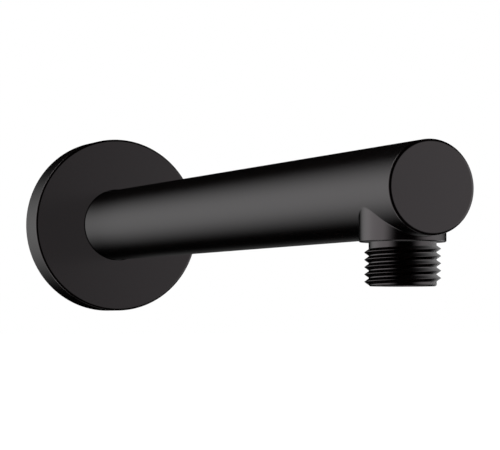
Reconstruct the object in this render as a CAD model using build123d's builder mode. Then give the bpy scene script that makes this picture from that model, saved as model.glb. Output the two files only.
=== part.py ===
"""Wall-mounted shower arm with a round wall flange and a half-inch outlet pointing down.

Millimetres, +Z up. The origin is on the wall face, on the arm's axis. The arm reaches out along -Y,
the inlet thread runs back into the wall along +Y and the outlet points along -Z.
"""

import os

from build123d import *

# Arm
arm_diameter = 26.0
arm_reach = 240.0  # wall face to outlet axis
nose_length = 17.0  # outlet axis to front face
tube_wall = 1.5
edge_chamfer = 0.5  # also on the flange

# Thick ends inside the tube: the bush at the wall and the head at the outlet
bush_length = 32.0
head_length = 35.0
water_diameter = 11.6

# Outlet boss, saddled into the underside of the head
boss_diameter = 24.0
boss_drop = 14.0  # arm axis to the boss's flat end
boss_chamfer = 0.25

# Half-inch pipe thread, at its crests, for both nipples
thread_diameter = 20.955
thread_chamfer = 1.0
key_width = 12.0  # hexagon key that drives both nipples

# Outlet nipple, screwed up into the boss
outlet_thread_length = 10.8
neck_diameter = 18.0
neck_length = 1.5
shank_diameter = 16.0
shank_length = 9.0
shank_clearance = 0.05
outlet_key_depth = 7.0

# Wall nipple, screwed into the pipe fitting, with the spigot that carries the arm
inlet_thread_length = 18.0
spigot_diameter = 19.0
spigot_length = 28.0
spigot_clearance = 0.1
spigot_lead = 0.5  # chamfer that leads the spigot and its rings into the bush
inlet_key_depth = 8.0

# O-rings, squeezed between their grooves and what they seal or grip
ring_height = 1.6
ring_width = 2.3
groove_play = 0.3  # along the axis, both sides together
spigot_ring_setback = 7.5  # end of the spigot to the middle of its front ring
spigot_ring_spacing = 6.5
flange_ring_setback = 3.4  # front of the flange to the middle of its ring

# Grub screw that locks the arm on the spigot
grub_diameter = 5.0
grub_length = 4.0
grub_place = 4.5  # wall face to its axis
grub_clearance = 0.05
grub_key_width = 2.5
grub_key_depth = 2.0
lock_depth = 1.2  # groove in the spigot under the screw's point
lock_width = 5.6

# Wall flange, a hollow turned cup that slides on the arm
flange_diameter = 64.0
flange_depth = 12.0
flange_wall = 2.5
flange_front = 2.5
flange_clearance = 0.2
flange_hub_depth = 6.0
flange_hub_wall = 2.0

# Radii and places that follow from these sizes
arm_radius = arm_diameter / 2
arm_length = arm_reach + nose_length
tube_bore = arm_radius - tube_wall
head_start = arm_length - head_length
water_radius = water_diameter / 2
boss_radius = boss_diameter / 2
thread_radius = thread_diameter / 2
neck_radius = neck_diameter / 2
shank_radius = shank_diameter / 2
spigot_radius = spigot_diameter / 2
socket_radius = spigot_radius + spigot_clearance
groove_radius = socket_radius - ring_height
lock_radius = spigot_radius - lock_depth
grub_radius = grub_diameter / 2
flange_radius = flange_diameter / 2
flange_bore = arm_radius + flange_clearance
flange_groove = arm_radius + ring_height
flange_hub = flange_groove + flange_hub_wall
flange_recess = flange_depth - flange_front
groove_width = ring_width + groove_play
front_ring_place = spigot_length - spigot_ring_setback
back_ring_place = front_ring_place - spigot_ring_spacing
flange_ring_place = flange_depth - flange_ring_setback
neck_end = boss_drop + neck_length
outlet_end = neck_end + outlet_thread_length

# Half-section planes: the first coordinate runs along the axis, away from the wall for the arm and
# down from the arm's axis for the outlet, and the second is the radius.
arm_section = Plane(origin=(0, 0, 0), x_dir=(0, -1, 0), z_dir=(-1, 0, 0))
outlet_section = Plane(origin=(0, -arm_reach, 0), x_dir=(0, 0, -1), z_dir=(0, -1, 0))
outlet_axis = Axis((0, -arm_reach, 0), (0, 0, -1))

os.makedirs("parts", exist_ok=True)

# Arm body: tube, bush, head and boss brazed and finished as one
with BuildPart() as arm_body:
    with BuildSketch(arm_section):
        with Locations((arm_length / 2, arm_radius / 2)):
            Rectangle(arm_length, arm_radius)
    revolve(axis=Axis.Y)
    front_edge = arm_body.edges().filter_by(GeomType.CIRCLE).sort_by(Axis.Y)[0]
    chamfer(front_edge, length=edge_chamfer)
    with BuildSketch(Plane.XY.offset(-boss_drop)):
        with Locations((0, -arm_reach)):
            Circle(boss_radius)
    extrude(amount=boss_drop)
    boss_edge = arm_body.edges().filter_by(GeomType.CIRCLE).sort_by(Axis.Z)[0]
    chamfer(boss_edge, length=boss_chamfer)
    # Waterway: socket for the spigot, open tube, drilled head
    with BuildSketch(arm_section):
        with BuildLine():
            Polyline(
                (0, 0),
                (0, socket_radius + spigot_lead),
                (spigot_lead, socket_radius),
                (bush_length, socket_radius),
                (bush_length, tube_bore),
                (head_start, tube_bore),
                (head_start, water_radius),
                (arm_reach + water_radius, water_radius),
                (arm_reach + water_radius, 0),
                close=True,
            )
        make_face()
    revolve(axis=Axis.Y, mode=Mode.SUBTRACT)
    with BuildSketch(outlet_section):
        with BuildLine():
            Polyline(
                (0, 0),
                (0, water_radius),
                (boss_drop - shank_length, water_radius),
                (boss_drop - shank_length, shank_radius + shank_clearance),
                (boss_drop, shank_radius + shank_clearance),
                (boss_drop, 0),
                close=True,
            )
        make_face()
    revolve(axis=outlet_axis, mode=Mode.SUBTRACT)
    # Tapped hole for the grub screw, from below into the socket
    with BuildSketch(Plane.XY.offset(-arm_radius)):
        with Locations((0, -grub_place)):
            Circle(grub_radius + grub_clearance)
    extrude(amount=arm_radius, mode=Mode.SUBTRACT)
arm_body.part.label = "arm_body"
export_step(arm_body.part, "parts/arm_body.step")

# Outlet nipple: shank in the boss, plain neck, thread for the shower head
with BuildPart() as outlet_nipple:
    with BuildSketch(outlet_section):
        with BuildLine():
            Polyline(
                (boss_drop - shank_length, water_radius),
                (boss_drop - shank_length, shank_radius),
                (boss_drop, shank_radius),
                (boss_drop, neck_radius),
                (neck_end, neck_radius),
                (neck_end, thread_radius),
                (outlet_end - thread_chamfer, thread_radius),
                (outlet_end, thread_radius - thread_chamfer),
                (outlet_end, water_radius),
                close=True,
            )
        make_face()
    revolve(axis=outlet_axis)
    with BuildSketch(Plane.XY.offset(-outlet_end)):
        with Locations((0, -arm_reach)):
            RegularPolygon(radius=key_width / 2, side_count=6, major_radius=False)
    extrude(amount=outlet_key_depth, mode=Mode.SUBTRACT)
outlet_nipple.part.label = "outlet_nipple"
export_step(outlet_nipple.part, "parts/outlet_nipple.step")

# Wall nipple: thread into the wall, shoulder on the wall face, grooved spigot in the arm
with BuildPart() as wall_nipple:
    with BuildSketch(arm_section):
        with BuildLine():
            Polyline(
                (-inlet_thread_length, water_radius),
                (-inlet_thread_length, thread_radius - thread_chamfer),
                (thread_chamfer - inlet_thread_length, thread_radius),
                (0, thread_radius),
                (0, spigot_radius),
                (spigot_length - spigot_lead, spigot_radius),
                (spigot_length, spigot_radius - spigot_lead),
                (spigot_length, water_radius),
                close=True,
            )
        make_face()
    revolve(axis=Axis.Y)
    # Locking groove and O-ring grooves
    with BuildSketch(arm_section):
        with Locations((grub_place, (lock_radius + spigot_radius) / 2)):
            Rectangle(lock_width, spigot_radius - lock_radius)
        for ring_place in (front_ring_place, back_ring_place):
            with Locations((ring_place, (groove_radius + spigot_radius) / 2)):
                Rectangle(groove_width, spigot_radius - groove_radius)
    revolve(axis=Axis.Y, mode=Mode.SUBTRACT)
    with BuildSketch(Plane.XZ.offset(spigot_length)):
        RegularPolygon(radius=key_width / 2, side_count=6, major_radius=False)
    extrude(amount=-inlet_key_depth, mode=Mode.SUBTRACT)
wall_nipple.part.label = "wall_nipple"
export_step(wall_nipple.part, "parts/wall_nipple.step")

# Grub screw: flat point in the locking groove, hexagon socket below
with BuildPart() as grub_screw:
    with BuildSketch(Plane.XY.offset(-lock_radius)):
        with Locations((0, -grub_place)):
            Circle(grub_radius)
    extrude(amount=-grub_length)
    with BuildSketch(Plane.XY.offset(-lock_radius - grub_length)):
        with Locations((0, -grub_place)):
            RegularPolygon(radius=grub_key_width / 2, side_count=6, major_radius=False)
    extrude(amount=grub_key_depth, mode=Mode.SUBTRACT)
grub_screw.part.label = "grub_screw"
export_step(grub_screw.part, "parts/grub_screw.step")

# Wall flange: hollow cup with a grooved hub round the arm
with BuildPart() as wall_flange:
    with BuildSketch(arm_section):
        with BuildLine():
            Polyline(
                (0, flange_radius - flange_wall),
                (0, flange_radius),
                (flange_depth, flange_radius),
                (flange_depth, flange_bore),
                (flange_depth - flange_hub_depth, flange_bore),
                (flange_depth - flange_hub_depth, flange_hub),
                (flange_recess, flange_hub),
                (flange_recess, flange_radius - flange_wall),
                close=True,
            )
        make_face()
    revolve(axis=Axis.Y)
    rim_edges = wall_flange.edges().filter_by(GeomType.CIRCLE).group_by(SortBy.RADIUS)[-1]
    chamfer(rim_edges.sort_by(Axis.Y)[0], length=edge_chamfer)
    with BuildSketch(arm_section):
        with Locations((flange_ring_place, (flange_bore + flange_groove) / 2)):
            Rectangle(groove_width, flange_groove - flange_bore)
    revolve(axis=Axis.Y, mode=Mode.SUBTRACT)
wall_flange.part.label = "wall_flange"
export_step(wall_flange.part, "parts/wall_flange.step")

# O-rings: two seal the spigot in the arm, one in the flange's hub grips the arm
ring_seats = {
    "spigot_ring_back": (back_ring_place, groove_radius),
    "spigot_ring_front": (front_ring_place, groove_radius),
    "flange_ring": (flange_ring_place, arm_radius),
}
for ring_name, (ring_place, ring_bore) in ring_seats.items():
    with BuildPart() as seal_ring:
        with BuildSketch(arm_section):
            with Locations((ring_place, ring_bore + ring_height / 2)):
                Rectangle(ring_width, ring_height)
        revolve(axis=Axis.Y)
    seal_ring.part.label = ring_name
    export_step(seal_ring.part, f"parts/{ring_name}.step")
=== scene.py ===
import math

import bmesh
import bpy
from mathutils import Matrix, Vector


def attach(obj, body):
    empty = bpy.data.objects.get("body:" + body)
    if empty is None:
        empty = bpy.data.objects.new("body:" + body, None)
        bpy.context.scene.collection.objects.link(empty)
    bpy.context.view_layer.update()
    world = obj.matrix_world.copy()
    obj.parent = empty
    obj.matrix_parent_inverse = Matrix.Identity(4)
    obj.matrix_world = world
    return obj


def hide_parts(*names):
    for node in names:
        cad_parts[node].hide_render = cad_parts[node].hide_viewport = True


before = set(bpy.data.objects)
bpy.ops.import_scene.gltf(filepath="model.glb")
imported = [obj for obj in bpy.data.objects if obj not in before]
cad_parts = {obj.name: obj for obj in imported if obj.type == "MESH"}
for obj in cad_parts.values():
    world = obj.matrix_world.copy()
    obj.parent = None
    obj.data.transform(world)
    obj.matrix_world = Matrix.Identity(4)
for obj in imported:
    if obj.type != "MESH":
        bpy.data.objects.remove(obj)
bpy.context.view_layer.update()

# Wall nipple: turned from brass bar, with the half-inch pipe thread that screws into the fitting in the
# wall. Its collar stops on the wall face. The grooved spigot carries the arm, and a hexagon key in its bore
# drives it. Sizes are in millimetres here and below.
MM = 0.001
PIPE_CREST = 10.4775
PIPE_ROOT = 9.3155
WATER_RADIUS = 5.8
KEY_WIDTH = 12.0
wall_columns = 144
wall_thread_end = -18.0
wall_thread_relief = -3.2
wall_thread_pitch = 1.814
collar_break = 0.15
inlet_break = 0.4
spigot_radius = 9.5
spigot_length = 28.0
spigot_lead = 0.5
ring_bed_radius = 8.0
ring_bed_half_width = 1.3
ring_beds = (14.0, 20.5)
lock_radius = 8.3
lock_half_width = 2.8
lock_place = 4.5
wall_key_depth = 8.0
weld_within = 0.002
sliver_within = 0.0005
sharp_from = 18.0


def on_arm_axis(radius, angle, out):
    """Point in metres round the arm's axis: a radius, an angle from the top and a distance from the wall."""
    return Vector((radius * math.sin(angle), -out, radius * math.cos(angle))) * MM


def hexagon(across_flats, corner):
    """Radius of a hexagon at each angle, with a corner at the given angle."""
    def radius(angle):
        from_flat = (angle - corner) % (math.pi / 3) - math.pi / 6
        return across_flats / 2 / math.cos(from_flat)
    return radius


def join_rows(bm, rows, around=True):
    """Joins each row of vertices to the next by faces, right round where the rows are rings."""
    for near, far in zip(rows, rows[1:]):
        for column in range(len(near) if around else len(near) - 1):
            beside = (column + 1) % len(near)
            bm.faces.new((near[column], near[beside], far[beside], far[column]))


def add_turned(bm, place, profile, columns, closed=True):
    """Adds the skin of a turned profile and gives its rings. A closed profile ends where it starts."""
    rings = []
    for along, radius in profile:
        ring = []
        for column in range(columns):
            angle = math.tau * column / columns
            reach = radius(angle) if callable(radius) else radius
            ring.append(bm.verts.new(place(reach, angle, along)))
        rings.append(ring)
    join_rows(bm, rings + rings[:1] if closed else rings)
    return rings


def add_thread(bm, place, columns, low, high, root, crest, pitch, crest_at, ridge, fade, tip, valley, lead):
    """Adds the skin of a right-hand V thread, from low to high along the axis, with plain root at both ends.

    The crest stands at crest_at at angle 0 of turn 0. The ridge goes from one turn to another, and grows and
    fades over a part of a turn. Its tip and the valley are flats, and the lead is the slope at both ends.
    """
    section = (
        (pitch / 2 - valley / 2, root),
        (tip / 2, crest),
        (-tip / 2, crest),
        (valley / 2 - pitch / 2, root),
    )
    spare_turns = 2
    first_turn = math.floor((crest_at - high) / pitch) - spare_turns
    last_turn = math.ceil((crest_at - low) / pitch) + spare_turns
    rows = []
    for turn in range(first_turn, last_turn + 1):
        for offset, height in section:
            row = []
            for column in range(columns):
                travel = turn + column / columns
                along = crest_at - pitch * travel + offset
                grown = min((travel - ridge[0]) / fade, (ridge[1] - travel) / fade, 1.0)
                radius = root + (height - root) * max(grown, 0.0)
                room = min(high - along, along - low)
                radius = max(root, min(radius, root + lead * room))
                along = min(max(along, low), high)
                row.append(bm.verts.new(place(radius, math.tau * column / columns, along)))
            rows.append(row)
    turn_rows = len(section)
    for index in range(len(rows) - turn_rows - 1):
        for column in range(columns):
            if column + 1 < columns:
                next_near, next_far = rows[index][column + 1], rows[index + 1][column + 1]
            else:
                next_near, next_far = rows[index + turn_rows][0], rows[index + turn_rows + 1][0]
            bm.faces.new((rows[index][column], next_near, next_far, rows[index + 1][column]))


def to_object(bm, name, crease=sharp_from):
    """Welds the skin and makes it an object, smooth apart from edges sharper than the crease angle."""
    bmesh.ops.remove_doubles(bm, verts=bm.verts, dist=weld_within * MM)
    bmesh.ops.dissolve_degenerate(bm, edges=bm.edges, dist=sliver_within * MM)
    bmesh.ops.recalc_face_normals(bm, faces=bm.faces)
    mesh = bpy.data.meshes.new(name)
    bm.to_mesh(mesh)
    bm.free()
    mesh.shade_smooth()
    mesh.set_sharp_from_angle(angle=math.radians(crease))
    piece = bpy.data.objects.new(name, mesh)
    bpy.context.scene.collection.objects.link(piece)
    return piece


bm = bmesh.new()
spigot = [
    (wall_thread_relief, PIPE_ROOT),
    (wall_thread_relief, PIPE_CREST - collar_break),
    (wall_thread_relief + collar_break, PIPE_CREST),
    (0.0, PIPE_CREST),
    (0.0, spigot_radius),
]
for groove, half_width, bed in (
    (lock_place, lock_half_width, lock_radius),
    (ring_beds[0], ring_bed_half_width, ring_bed_radius),
    (ring_beds[1], ring_bed_half_width, ring_bed_radius),
):
    spigot += [(groove - half_width, spigot_radius), (groove - half_width, bed)]
    spigot += [(groove + half_width, bed), (groove + half_width, spigot_radius)]
key_hole = hexagon(KEY_WIDTH, math.pi / 6)
spigot += [
    (spigot_length - spigot_lead, spigot_radius),
    (spigot_length, spigot_radius - spigot_lead),
    (spigot_length, key_hole),
    (spigot_length - wall_key_depth, key_hole),
    (spigot_length - wall_key_depth, WATER_RADIUS),
    (wall_thread_end + inlet_break, WATER_RADIUS),
    (wall_thread_end, WATER_RADIUS + inlet_break),
    (wall_thread_end, PIPE_ROOT),
]
add_turned(bm, on_arm_axis, spigot, wall_columns, closed=False)
add_thread(
    bm, on_arm_axis, wall_columns, low=wall_thread_end, high=wall_thread_relief,
    root=PIPE_ROOT, crest=PIPE_CREST, pitch=wall_thread_pitch,
    crest_at=-3.0, ridge=(0.3, 9.0), fade=0.35, tip=0.16, valley=0.24, lead=1.0,
)
wall_nipple = to_object(bm, "threaded_wall_nipple")


def linear(hex_colour):
    """Linear RGBA of an sRGB hex colour."""
    channels = [int(hex_colour[i:i + 2], 16) / 255 for i in (1, 3, 5)]
    return [c / 12.92 if c <= 0.04045 else ((c + 0.055) / 1.055) ** 2.4 for c in channels] + [1.0]


def add_node(owner, kind, inputs=None, links=None, **settings):
    """Adds a node to a material or world, with its settings, input values and the sockets that feed it."""
    node = owner.node_tree.nodes.new(kind)
    for name, value in settings.items():
        setattr(node, name, value)
    for name, value in (inputs or {}).items():
        node.inputs[name].default_value = value
    for name, socket in (links or {}).items():
        owner.node_tree.links.new(socket, node.inputs[name])
    return node


def new_material(name):
    """A material of that name, with no nodes yet."""
    material = bpy.data.materials.new(name)
    material.use_nodes = True
    material.node_tree.nodes.clear()
    return material


# Free-cutting brass, bare from the lathe: warm yellow metal with fine turning rings across the light, and a
# faint tarnish in patches of some 6 mm. A real feed leaves a ring every 0.15 mm, drawn here every 0.3 mm so
# that it shows.
turning_ring = 0.3 * MM
tarnish_patch = 6 * MM
turned_brass = new_material("turned_brass")
place = add_node(turned_brass, "ShaderNodeTexCoord")
along = add_node(turned_brass, "ShaderNodeSeparateXYZ", links={"Vector": place.outputs["Object"]})
feed_rings = add_node(
    turned_brass, "ShaderNodeTexNoise", noise_dimensions="1D",
    inputs={"Scale": 1 / turning_ring, "Detail": 2.0}, links={"W": along.outputs["Y"]},
)
tarnish = add_node(
    turned_brass, "ShaderNodeTexNoise", inputs={"Scale": 1 / tarnish_patch, "Detail": 3.0},
    links={"Vector": place.outputs["Object"]},
)
tone = add_node(
    turned_brass, "ShaderNodeMix", data_type="RGBA",
    inputs={"A": linear("#D6B76F"), "B": linear("#C29C55")}, links={"Factor": tarnish.outputs["Fac"]},
)
gloss = add_node(
    turned_brass, "ShaderNodeMapRange", inputs={"To Min": 0.22, "To Max": 0.36},
    links={"Value": feed_rings.outputs["Fac"]},
)
grooves = add_node(
    turned_brass, "ShaderNodeBump", inputs={"Strength": 0.25, "Distance": 0.01 * MM},
    links={"Height": feed_rings.outputs["Fac"]},
)
surface = add_node(
    turned_brass, "ShaderNodeBsdfPrincipled", inputs={"Metallic": 1.0},
    links={
        "Base Color": tone.outputs["Result"],
        "Roughness": gloss.outputs["Result"],
        "Normal": grooves.outputs["Normal"],
    },
)
add_node(turned_brass, "ShaderNodeOutputMaterial", links={"Surface": surface.outputs["BSDF"]})

wall_nipple.data.materials.append(turned_brass)
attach(wall_nipple, "root")
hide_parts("wall_nipple")

# O-rings: black EPDM rubber, moulded round and squeezed into an oval by what they seal. Two sit on the
# spigot inside the arm. One in the flange's hub grips the arm, so that the flange stays against the wall.
arm_radius = 13.0
flange_groove_place = 8.6
ring_height = 1.6
ring_width = 2.3
ring_columns = 96
ring_points = 20
ring_fullness = 0.6
ring_crease = 60.0
ring_seats = {
    "spigot_ring_back": (ring_beds[0], ring_bed_radius),
    "spigot_ring_front": (ring_beds[1], ring_bed_radius),
    "flange_ring": (flange_groove_place, arm_radius),
}

# EPDM rubber from a polished mould: near black and dull, with a fine bloom on it in specks of 1.5 mm.
bloom_speck = 1.5 * MM
sealing_rubber = new_material("moulded_epdm_rubber")
place = add_node(sealing_rubber, "ShaderNodeTexCoord")
bloom = add_node(
    sealing_rubber, "ShaderNodeTexNoise", inputs={"Scale": 1 / bloom_speck, "Detail": 3.0},
    links={"Vector": place.outputs["Object"]},
)
tone = add_node(
    sealing_rubber, "ShaderNodeMix", data_type="RGBA",
    inputs={"A": linear("#141414"), "B": linear("#1F1F1E")}, links={"Factor": bloom.outputs["Fac"]},
)
surface = add_node(
    sealing_rubber, "ShaderNodeBsdfPrincipled", inputs={"Roughness": 0.62, "IOR": 1.5},
    links={"Base Color": tone.outputs["Result"]},
)
add_node(sealing_rubber, "ShaderNodeOutputMaterial", links={"Surface": surface.outputs["BSDF"]})

seal_rings = []
for node, (ring_place, ring_bore) in ring_seats.items():
    section = []
    for point in range(ring_points):
        turn = math.tau * point / ring_points
        wide, high = [math.copysign(abs(f(turn)) ** ring_fullness, f(turn)) for f in (math.cos, math.sin)]
        section.append((ring_place + ring_width / 2 * wide, ring_bore + ring_height / 2 * (1 + high)))
    bm = bmesh.new()
    add_turned(bm, on_arm_axis, section, ring_columns)
    ring = to_object(bm, "rubber_" + node, crease=ring_crease)
    ring.data.materials.append(sealing_rubber)
    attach(ring, "root")
    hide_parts(node)
    seal_rings.append(ring)

# Outlet nipple: turned brass, screwed up into the boss and coated black with the arm. A plain neck shows
# below the boss, then the thread for the shower head. The thread's pitch follows the photograph.
outlet_reach = 240.0
outlet_columns = 144
boss_drop = 14.2
outlet_end = 26.3
outlet_end_chamfer = 0.35
outlet_pitch = 2.01
shank_radius = 8.0
shank_length = 9.0
outlet_key_depth = 7.0


def on_outlet_axis(radius, angle, drop):
    """Point in metres round the outlet: a radius, an angle from +X and a drop below the arm's axis."""
    return Vector((radius * math.cos(angle), radius * math.sin(angle) - outlet_reach, -drop)) * MM


bm = bmesh.new()
key_hole = hexagon(KEY_WIDTH, 0.0)
inside = [
    (outlet_end - outlet_end_chamfer, PIPE_ROOT),
    (outlet_end, PIPE_ROOT - outlet_end_chamfer),
    (outlet_end, key_hole),
    (outlet_end - outlet_key_depth, key_hole),
    (outlet_end - outlet_key_depth, WATER_RADIUS),
    (boss_drop - shank_length, WATER_RADIUS),
    (boss_drop - shank_length, shank_radius),
    (boss_drop, shank_radius),
    (boss_drop, PIPE_ROOT),
]
add_turned(bm, on_outlet_axis, inside, outlet_columns, closed=False)
add_thread(
    bm, on_outlet_axis, outlet_columns, low=boss_drop, high=outlet_end - outlet_end_chamfer,
    root=PIPE_ROOT, crest=PIPE_CREST, pitch=outlet_pitch,
    crest_at=25.91, ridge=(0.05, 5.15), fade=0.15, tip=0.12, valley=0.24, lead=1.6,
)
outlet_nipple = to_object(bm, "threaded_outlet_nipple")

# Satin black electro-coat over brass: a deep black film, even to the eye, that spreads light into soft
# bands. Its orange peel of about 0.8 mm is only microns deep, and its sheen drifts a little over some 10 mm.
peel = 0.8 * MM
sheen_patch = 10 * MM
satin_black = new_material("satin_black_coat")
place = add_node(satin_black, "ShaderNodeTexCoord")
drift = add_node(
    satin_black, "ShaderNodeTexNoise", inputs={"Scale": 1 / sheen_patch, "Detail": 2.0},
    links={"Vector": place.outputs["Object"]},
)
peel_waves = add_node(
    satin_black, "ShaderNodeTexNoise", inputs={"Scale": 1 / peel, "Detail": 2.0, "Roughness": 0.4},
    links={"Vector": place.outputs["Object"]},
)
tone = add_node(
    satin_black, "ShaderNodeMix", data_type="RGBA",
    inputs={"A": linear("#030101"), "B": linear("#050202")}, links={"Factor": drift.outputs["Fac"]},
)
gloss = add_node(
    satin_black, "ShaderNodeMapRange", inputs={"To Min": 0.17, "To Max": 0.2},
    links={"Value": drift.outputs["Fac"]},
)
peel_bumps = add_node(
    satin_black, "ShaderNodeBump", inputs={"Strength": 0.1, "Distance": 0.004 * MM},
    links={"Height": peel_waves.outputs["Fac"]},
)
surface = add_node(
    satin_black, "ShaderNodeBsdfPrincipled", inputs={"IOR": 1.5, "Specular Tint": linear("#FFF5F9")},
    links={
        "Base Color": tone.outputs["Result"],
        "Roughness": gloss.outputs["Result"],
        "Normal": peel_bumps.outputs["Normal"],
    },
)
add_node(satin_black, "ShaderNodeOutputMaterial", links={"Surface": surface.outputs["BSDF"]})

outlet_nipple.data.materials.append(satin_black)
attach(outlet_nipple, "root")
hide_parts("outlet_nipple")

# Arm body: drawn brass tube with a bush brazed in at the wall end and a solid head at the front, where the
# outlet boss is saddled into its underside. It is polished as one, which rubs its front edge soft, then
# drilled for the water and coated black.
arm_length = 257.0
arm_rows = (0, 2, 7, 11, 14, 40, 70, 100, 130, 160, 190, 212, 222)
arm_front_row = 253.5
edge_across = 1.25
edge_along = 0.6
edge_turn = math.radians(68)
edge_steps = 10
before_edge = 0.1
past_edge = 0.04
boss_radius = 12.0
boss_edge = 0.25
saddle_steps = 64
round_steps = 90
saddle_fillet = 0.2
fillet_steps = 8
saddle_reach = boss_radius + saddle_fillet
saddle_limit = math.asin(saddle_reach / arm_radius)


def soft_edge(front, rim):
    """Profile of a front edge that polishing has rubbed soft, from the side of the rim to the front face."""
    edge = [(front - edge_along - before_edge, rim)]
    for step in range(edge_steps + 1):
        turn = edge_turn * step / edge_steps
        edge.append((
            front - edge_along * (math.sin(edge_turn) - math.sin(turn)),
            rim - edge_across * (1 - math.cos(turn)),
        ))
    return edge + [(front, edge[-1][1] - past_edge)]


# Columns of vertices run along the arm. Each has its angle from the bottom, and half the length that the
# saddle takes up there.
columns = []
for step in range(saddle_steps + 1):
    turn = math.pi * step / saddle_steps - math.pi / 2
    columns.append((math.asin(saddle_reach / arm_radius * math.sin(turn)), saddle_reach * math.cos(turn)))
for step in range(1, round_steps):
    columns.append((saddle_limit + (math.tau - 2 * saddle_limit) * step / round_steps, 0.0))
behind = [(out, arm_radius) for out in arm_rows]
ahead = [(arm_front_row, arm_radius)] + soft_edge(arm_length, arm_radius)

bm = bmesh.new()
rows = [
    [bm.verts.new(on_arm_axis(radius, math.pi - low, out)) for low, _ in columns]
    for out, radius in behind
]
saddle_back = [
    bm.verts.new(on_arm_axis(arm_radius, math.pi - low, outlet_reach - chord)) for low, chord in columns
]
saddle_front = [
    bm.verts.new(on_arm_axis(arm_radius, math.pi - low, outlet_reach + chord)) for low, chord in columns
]
front_rows = [
    [bm.verts.new(on_arm_axis(radius, math.pi - low, out)) for low, _ in columns]
    for out, radius in ahead
]
join_rows(bm, rows + [saddle_back])
join_rows(bm, [saddle_front] + front_rows)
bm.faces.new(rows[0])
bm.faces.new(front_rows[-1])

saddle = saddle_back[:saddle_steps + 1] + saddle_front[saddle_steps - 1:0:-1]
strands = []
for vertex in saddle:
    aside = vertex.co.x / (saddle_reach * MM)
    along = (vertex.co.y + outlet_reach * MM) / (saddle_reach * MM)
    start = -vertex.co.z / MM
    corner = math.sqrt(arm_radius ** 2 - (boss_radius * aside) ** 2)
    line = []
    for step in range(1, fillet_steps + 1):
        share = step / fillet_steps
        left = (1 - share) ** 2
        line.append((
            boss_radius + saddle_fillet * left,
            start * left + corner * (1 - left) + saddle_fillet * share ** 2,
        ))
    line += [
        (boss_radius, boss_drop - boss_edge - before_edge),
        (boss_radius, boss_drop - boss_edge),
        (boss_radius - boss_edge, boss_drop),
    ]
    strands.append([
        bm.verts.new(Vector((aside * radius, along * radius - outlet_reach, -drop)) * MM)
        for radius, drop in line
    ])
boss_rings = [saddle, *zip(*strands)]
join_rows(bm, boss_rings)
bm.faces.new(boss_rings[-1])
arm_body = to_object(bm, "arm_with_outlet_boss")

socket_radius = 9.6
bush_length = 32.0
tube_radius = 11.5
head_start = 222.0
waterway_columns = 95
shank_hole = 8.05
shank_hole_top = 0.3
shank_hole_columns = 70
grub_hole = 2.55
grub_hole_columns = 38
past = 1.0


def on_grub_axis(radius, angle, drop):
    """Point in metres round the grub screw's axis: a radius, an angle and a drop below the arm's axis."""
    return Vector((radius * math.cos(angle), radius * math.sin(angle) - lock_place, -drop)) * MM


drillings = (
    (on_arm_axis, waterway_columns, (
        (-past, socket_radius + spigot_lead), (0, socket_radius + spigot_lead), (spigot_lead, socket_radius),
        (bush_length, socket_radius), (bush_length, tube_radius), (head_start, tube_radius),
        (head_start, WATER_RADIUS), (outlet_reach + WATER_RADIUS, WATER_RADIUS),
    )),
    (on_outlet_axis, shank_hole_columns, (
        (shank_hole_top, WATER_RADIUS), (boss_drop - shank_length, WATER_RADIUS),
        (boss_drop - shank_length, shank_hole), (boss_drop + past, shank_hole),
    )),
    (on_grub_axis, grub_hole_columns, (
        (socket_radius - past, grub_hole), (arm_radius + past, grub_hole),
    )),
)
cutters = []
for axis, steps, profile in drillings:
    bm = bmesh.new()
    rings = add_turned(bm, axis, profile, steps, closed=False)
    bm.faces.new(rings[0])
    bm.faces.new(rings[-1])
    cutters.append(to_object(bm, "drilling"))
    drill = arm_body.modifiers.new("drilling", "BOOLEAN")
    drill.operation = "DIFFERENCE"
    drill.solver = "EXACT"
    drill.object = cutters[-1]
drilled = bpy.data.meshes.new_from_object(arm_body.evaluated_get(bpy.context.evaluated_depsgraph_get()))
arm_body.modifiers.clear()
arm_body.data = drilled
drilled.shade_smooth()
drilled.set_sharp_from_angle(angle=math.radians(sharp_from))
for cutter in cutters:
    bpy.data.objects.remove(cutter)

arm_body.data.materials.clear()
arm_body.data.materials.append(satin_black)
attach(arm_body, "root")
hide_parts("arm_body")

# Grub screw: stainless steel, with a hexagon socket, turned up from below through the bush until its flat
# point sits in the spigot's locking groove. The flange hides it. Its shape is the CAD model's.
grub_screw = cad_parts["grub_screw"]

# Stainless steel, machined and passivated: pale grey metal with a fine grain of about 0.4 mm.
steel_grain = 0.4 * MM
stainless_steel = new_material("machined_stainless_steel")
place = add_node(stainless_steel, "ShaderNodeTexCoord")
grain = add_node(
    stainless_steel, "ShaderNodeTexNoise", inputs={"Scale": 1 / steel_grain, "Detail": 3.0},
    links={"Vector": place.outputs["Object"]},
)
tone = add_node(
    stainless_steel, "ShaderNodeMix", data_type="RGBA",
    inputs={"A": linear("#B9B8B4"), "B": linear("#A4A4A2")}, links={"Factor": grain.outputs["Fac"]},
)
gloss = add_node(
    stainless_steel, "ShaderNodeMapRange", inputs={"To Min": 0.24, "To Max": 0.38},
    links={"Value": grain.outputs["Fac"]},
)
surface = add_node(
    stainless_steel, "ShaderNodeBsdfPrincipled", inputs={"Metallic": 1.0},
    links={"Base Color": tone.outputs["Result"], "Roughness": gloss.outputs["Result"]},
)
add_node(stainless_steel, "ShaderNodeOutputMaterial", links={"Surface": surface.outputs["BSDF"]})
grub_screw.data.materials.clear()
grub_screw.data.materials.append(stainless_steel)

# Wall flange: a hollow cup turned from brass and coated black like the arm. It slides along the arm and
# covers the hole in the wall. Its front edge is rubbed soft like the arm's.
flange_radius = 32.0
flange_depth = 12.0
flange_wall = 29.5
flange_recess = 9.5
flange_bore = 13.2
flange_bore_row = 0.3
flange_hub = 16.6
flange_hub_back = 6.0
flange_groove = 14.6
flange_break = 0.1
flange_columns = 240

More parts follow.
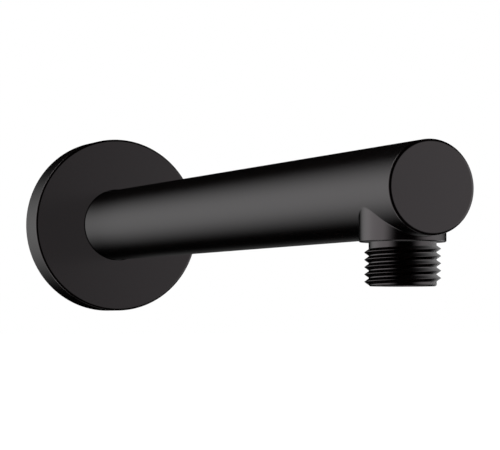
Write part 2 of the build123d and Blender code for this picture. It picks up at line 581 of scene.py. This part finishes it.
cup = [(0.0, flange_wall), (0.0, flange_radius - flange_break), (flange_break, flange_radius)]
cup += soft_edge(flange_depth, flange_radius)
cup += [
    (flange_depth, flange_bore + flange_bore_row),
    (flange_depth, flange_bore + flange_break),
    (flange_depth - flange_break, flange_bore),
    (flange_groove_place + ring_bed_half_width, flange_bore),
    (flange_groove_place + ring_bed_half_width, flange_groove),
    (flange_groove_place - ring_bed_half_width, flange_groove),
    (flange_groove_place - ring_bed_half_width, flange_bore),
    (flange_hub_back, flange_bore),
    (flange_hub_back, flange_hub),
    (flange_recess, flange_hub),
    (flange_recess, flange_wall),
]
bm = bmesh.new()
add_turned(bm, on_arm_axis, cup, flange_columns)
wall_flange = to_object(bm, "cover_flange")
wall_flange.data.materials.append(satin_black)
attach(wall_flange, "root")
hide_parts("wall_flange")

# Studio: a pale floor well below the arm, one soft lamp overhead that throws the shadow, and a white
# background. White scrims hang all round, and the black coat shows them as its soft bands. Black flags
# behind them, which only gloss sees, keep the rest of the coat dark.
middle = Vector((0, -130, 0)) * MM
floor_drop = 150.0
floor_side = 30000.0
white_from = 400.0
white_past = 1000.0
bm = bmesh.new()
bmesh.ops.create_grid(bm, x_segments=1, y_segments=1, size=floor_side / 2 * MM)
floor = to_object(bm, "studio_floor")
floor.location = middle - Vector((0, 0, floor_drop)) * MM
floor.visible_glossy = False

# Matt white paper: pale, with the object's shadow on it. Farther out the camera sees it plain white, and
# from below it is clear.
white_paper = new_material("matt_white_paper")
rays = add_node(white_paper, "ShaderNodeLightPath")
side = add_node(white_paper, "ShaderNodeNewGeometry")
place = add_node(white_paper, "ShaderNodeTexCoord")
away = add_node(white_paper, "ShaderNodeVectorMath", operation="LENGTH", links={0: place.outputs["Object"]})
far = add_node(
    white_paper, "ShaderNodeMapRange", interpolation_type="SMOOTHSTEP",
    inputs={"From Min": white_from * MM, "From Max": white_past * MM, "To Min": 0.03, "To Max": 1.0},
    links={"Value": away.outputs["Value"]},
)
white = add_node(
    white_paper, "ShaderNodeMath", operation="MULTIPLY",
    links={0: far.outputs["Result"], 1: rays.outputs["Is Camera Ray"]},
)
paper = add_node(white_paper, "ShaderNodeBsdfDiffuse", inputs={"Color": linear("#F4F4F2")})
shine = add_node(
    white_paper, "ShaderNodeEmission", inputs={"Color": linear("#FFFFFF")},
    links={"Strength": white.outputs["Value"]},
)
both = add_node(
    white_paper, "ShaderNodeAddShader", links={0: paper.outputs["BSDF"], 1: shine.outputs["Emission"]},
)
clear = add_node(white_paper, "ShaderNodeBsdfTransparent")
sides = add_node(
    white_paper, "ShaderNodeMixShader",
    links={0: side.outputs["Backfacing"], 1: both.outputs["Shader"], 2: clear.outputs["BSDF"]},
)
add_node(white_paper, "ShaderNodeOutputMaterial", links={"Surface": sides.outputs["Shader"]})
floor.data.materials.append(white_paper)

# The background is plain white where it is seen, in gloss and through glass too, and dimmer as a light.
world = bpy.data.worlds.new("studio")
bpy.context.scene.world = world
world.use_nodes = True
world.node_tree.nodes.clear()
rays = add_node(world, "ShaderNodeLightPath")
seen = add_node(
    world, "ShaderNodeMath", operation="MAXIMUM",
    links={0: rays.outputs["Is Camera Ray"], 1: rays.outputs["Is Glossy Ray"]},
)
seen_or_through = add_node(
    world, "ShaderNodeMath", operation="MAXIMUM",
    links={0: seen.outputs["Value"], 1: rays.outputs["Is Transmission Ray"]},
)
strength = add_node(
    world, "ShaderNodeMapRange", inputs={"To Min": 0.6, "To Max": 1.0},
    links={"Value": seen_or_through.outputs["Value"]},
)
background = add_node(
    world, "ShaderNodeBackground", inputs={"Color": linear("#FFFFFF")},
    links={"Strength": strength.outputs["Result"]},
)
add_node(world, "ShaderNodeOutputWorld", links={"Surface": background.outputs["Background"]})

# The lamp's level is the share of white at which it shows white paper on the floor below it.
lamp_height = 1300.0
lamp_side = 500.0
lamp_level = 0.45
lamp_data = bpy.data.lights.new("overhead_softbox", "AREA")
lamp_data.size = lamp_side * MM
lamp_data.energy = lamp_level * math.pi ** 2 * ((lamp_height + floor_drop) * MM) ** 2
lamp = bpy.data.objects.new("overhead_softbox", lamp_data)
lamp.location = middle + Vector((0, 0, lamp_height)) * MM
lamp.visible_glossy = False
bpy.context.scene.collection.objects.link(lamp)

flag_radius = 6000.0
smooth_all_over = 180.0
bm = bmesh.new()
bmesh.ops.create_icosphere(bm, subdivisions=4, radius=flag_radius * MM)
flags = to_object(bm, "black_flags", crease=smooth_all_over)
for ray in ("camera", "diffuse", "transmission", "volume_scatter", "shadow"):
    setattr(flags, "visible_" + ray, False)

# Black cloth: it takes all the light that meets it.
black_cloth = new_material("black_flag_cloth")
cloth = add_node(black_cloth, "ShaderNodeBsdfDiffuse", inputs={"Color": linear("#000000")})
add_node(black_cloth, "ShaderNodeOutputMaterial", links={"Surface": cloth.outputs["BSDF"]})
flags.data.materials.append(black_cloth)

# As in the photograph, no piece stands in the way of a scrim or shows in another's gloss.
for piece in (arm_body, wall_flange, outlet_nipple, wall_nipple, *seal_rings):
    piece.visible_glossy = False
in_the_way = bpy.data.collections.new("in_the_way_of_the_scrims")
in_the_way.objects.link(flags)
off_the_edges = bpy.data.collections.new("in_the_way_of_the_top_scrims")
off_the_edges.objects.link(flags)
the_outlet = bpy.data.collections.new("outlet")
the_outlet.objects.link(outlet_nipple)
the_rest = bpy.data.collections.new("all_but_the_outlet")
for piece in (arm_body, wall_flange, wall_nipple, *seal_rings, grub_screw):
    the_rest.objects.link(piece)
off_flange = bpy.data.collections.new("all_but_the_flange")
for piece in (arm_body, outlet_nipple, wall_nipple, *seal_rings, grub_screw):
    off_flange.objects.link(piece)

# Where they meet, though, the arm and the flange dim each other's gloss a little, and the gap between them
# is black. Three shells of grey film do that, in the gap and inside the two pieces. Two more, close round
# the front edges, hold the scrims overhead off them, so that the edges stay black as in the photograph.
# Only the light of the scrims meets a film.
grey_film = new_material("grey_film")
film_takes = add_node(grey_film, "ShaderNodeAttribute", attribute_name="taken")
passed = add_node(
    grey_film, "ShaderNodeMath", operation="SUBTRACT", inputs={0: 1.0}, links={1: film_takes.outputs["Fac"]},
)
film_sheet = add_node(grey_film, "ShaderNodeBsdfTransparent", links={"Color": passed.outputs["Value"]})
add_node(grey_film, "ShaderNodeOutputMaterial", links={"Surface": film_sheet.outputs["BSDF"]})

film_columns = 96
film_depth = 0.5
gap_middle = (arm_radius + flange_bore) / 2
behind_face = flange_depth - film_depth
under_skin = arm_radius - film_depth
flange_dimming = (flange_bore, 0.14), (17.0, 0.12), (21.0, 0.06), (25.0, 0.02), (29.0, 0.0)
flange_upright = 5.4
arm_dimming = (flange_depth, 0.11), (110.0, 0.11), (140.0, 0.0)
edge_film_gap = 0.2
edge_film_side = 1.0
edge_film_face = 1.6


def edge_film(front, rim):
    """Profile of a black film close round a front edge, from the side of the rim to the front face."""
    return (
        (front - edge_film_side, rim + edge_film_gap, 1.0),
        (front + edge_film_gap, rim + edge_film_gap, 1.0),
        (front + edge_film_gap, rim - edge_film_face, 1.0),
    )


# Each film has its profile along the arm, with the share of the light that it takes there, how many times
# more of it that is straight above and below the arm, and whether only the scrims overhead meet it.
for name, profile, upright, overhead_only in (
    ("gap_film", ((flange_hub_back, gap_middle, 1.0), (flange_depth, gap_middle, 1.0)), 1.0, False),
    ("flange_film", [
        (behind_face, radius, share) for radius, share in flange_dimming
    ], flange_upright, False),
    ("arm_film", [(out, under_skin, share) for out, share in arm_dimming], 1.0, False),
    ("flange_edge_film", edge_film(flange_depth, flange_radius), 1.0, True),
    ("arm_edge_film", edge_film(arm_length, arm_radius), 1.0, True),
):
    bm = bmesh.new()
    taken = bm.verts.layers.float.new("taken")
    line = [(out, radius) for out, radius, _ in profile]
    rings = add_turned(bm, on_arm_axis, line, film_columns, closed=False)
    for ring, (_, _, share) in zip(rings, profile):
        for column, vertex in enumerate(ring):
            above = math.cos(math.tau * column / film_columns) ** 2
            vertex[taken] = share * (1 + (upright - 1) * above)
    film = to_object(bm, name, crease=smooth_all_over)
    for ray in ("camera", "diffuse", "glossy", "transmission", "volume_scatter"):
        setattr(film, "visible_" + ray, False)
    off_the_edges.objects.link(film)
    if not overhead_only:
        in_the_way.objects.link(film)
    film.data.materials.append(grey_film)

# A glow that starts or ends past the poles, or past the seam at the back, doesn't fade there.
scrim_radius = 5000.0
scrim_step = 3.0
all_round = (-181, -180), (180, 181)
to_nadir = -92, -91
to_zenith = 91, 92


def ramp(value, start, end):
    """Smooth rise from 0 at start to 1 at end."""
    share = min(max((value - start) / (end - start), 0.0), 1.0)
    return share * share * (3 - 2 * share)


# Each scrim has its brightness, the degrees from the front towards -X between which its glow rises and
# falls, the degrees upwards between which it does so, and what it lights if that isn't everything.
for name, brightness, (rise, fall), (bottom, top), lit in (
    ("left_scrim", 2.25, ((44, 84), (121, 181)), ((-65, -5), (5, 65)), None),
    ("right_scrim", 1.8, ((-2, -46), (-58, -128)), ((-32, -6), (8, 34)), None),
    ("right_rear_scrim", 0.6, ((-80, -105), (-130, -160)), ((-35, -10), (28, 68)), the_outlet),
    ("low_rear_scrim", 0.08, ((190, 206), (215, 230)), ((-22, -9), (-4, 4)), off_flange),
    ("low_right_scrim", 0.9, ((-98, -116), (-142, -156)), ((-52, -36), (-24, -11)), the_rest),
    ("floor_scrim", 0.55, all_round, (to_nadir, (-82, -68)), the_rest),
    ("top_scrim", 0.3, all_round, ((30, 50), to_zenith), the_rest),
    ("left_high_scrim", 2.0, ((80, 115), (132, 152)), ((32, 42), (50, 66)), the_rest),
    ("left_low_scrim", 2.2, ((80, 115), (132, 152)), ((-68, -52), (-43, -33)), the_rest),
    ("rear_top_scrim", 0.6, ((80, 110), (250, 280)), ((35, 60), to_zenith), the_rest),
):
    first, last = (-180, 180) if (rise, fall) == all_round else (rise[0], fall[1])
    lowest, highest = max(bottom[0], -90), min(top[1], 90)
    across = round(abs(last - first) / scrim_step)
    upward = round((highest - lowest) / scrim_step)
    bm = bmesh.new()
    glow = bm.verts.layers.float.new("glow")
    rows = []
    for level in range(upward + 1):
        height = lowest + (highest - lowest) * level / upward
        tilt = math.radians(height)
        flat = math.cos(tilt)
        row = []
        for step in range(across + 1):
            bearing = first + (last - first) * step / across
            turn = math.radians(bearing)
            aim = Vector((-math.sin(turn) * flat, -math.cos(turn) * flat, math.sin(tilt)))
            vertex = bm.verts.new(middle + aim * scrim_radius * MM)
            vertex[glow] = ramp(bearing, *rise) * (1 - ramp(bearing, *fall))
            vertex[glow] *= ramp(height, *bottom) * (1 - ramp(height, *top))
            row.append(vertex)
        rows.append(row)
    join_rows(bm, rows, around=False)
    scrim = to_object(bm, name, crease=smooth_all_over)
    scrim.visible_camera = False
    scrim.visible_diffuse = False
    scrim.light_linking.blocker_collection = off_the_edges if top == to_zenith else in_the_way
    if lit:
        scrim.light_linking.receiver_collection = lit

    # Sheer white cloth, lit from behind: it glows, and what is behind it shows through.
    lit_cloth = new_material(name + "_cloth")
    glowing = add_node(lit_cloth, "ShaderNodeAttribute", attribute_name="glow")
    power = add_node(
        lit_cloth, "ShaderNodeMath", operation="MULTIPLY", inputs={1: brightness},
        links={0: glowing.outputs["Fac"]},
    )
    shine = add_node(
        lit_cloth, "ShaderNodeEmission", inputs={"Color": linear("#FFFFFF")},
        links={"Strength": power.outputs["Value"]},
    )
    through = add_node(lit_cloth, "ShaderNodeBsdfTransparent")
    both = add_node(
        lit_cloth, "ShaderNodeAddShader", links={0: shine.outputs["Emission"], 1: through.outputs["BSDF"]},
    )
    add_node(lit_cloth, "ShaderNodeOutputMaterial", links={"Surface": both.outputs["Shader"]})
    scrim.data.materials.append(lit_cloth)

# Camera: fitted to the outlines in the photograph. It stands in front of the arm, towards -X, and looks
# slightly upwards.
camera_yaw = math.radians(23.594)
camera_pitch = math.radians(2.59)
camera_place = Vector((-269.17, -751.71, -35.57)) * MM
camera_aim = Vector((
    math.sin(camera_yaw) * math.cos(camera_pitch),
    math.cos(camera_yaw) * math.cos(camera_pitch),
    math.sin(camera_pitch),
))
camera_near = 50.0
camera_far = 100000.0
image_width = 500
focal_pixels = 2103.6
sensor_width = 36.0
camera_data = bpy.data.cameras.new("camera")
camera_data.sensor_width = sensor_width
camera_data.lens = focal_pixels * sensor_width / image_width
camera_data.clip_start = camera_near * MM
camera_data.clip_end = camera_far * MM
camera = bpy.data.objects.new("camera", camera_data)
bpy.context.scene.collection.objects.link(camera)
camera.location = camera_place
camera.rotation_mode = "QUATERNION"
camera.rotation_quaternion = camera_aim.to_track_quat("-Z", "Y")
bpy.context.scene.camera = camera

bpy.context.scene.view_settings.view_transform = "Standard"
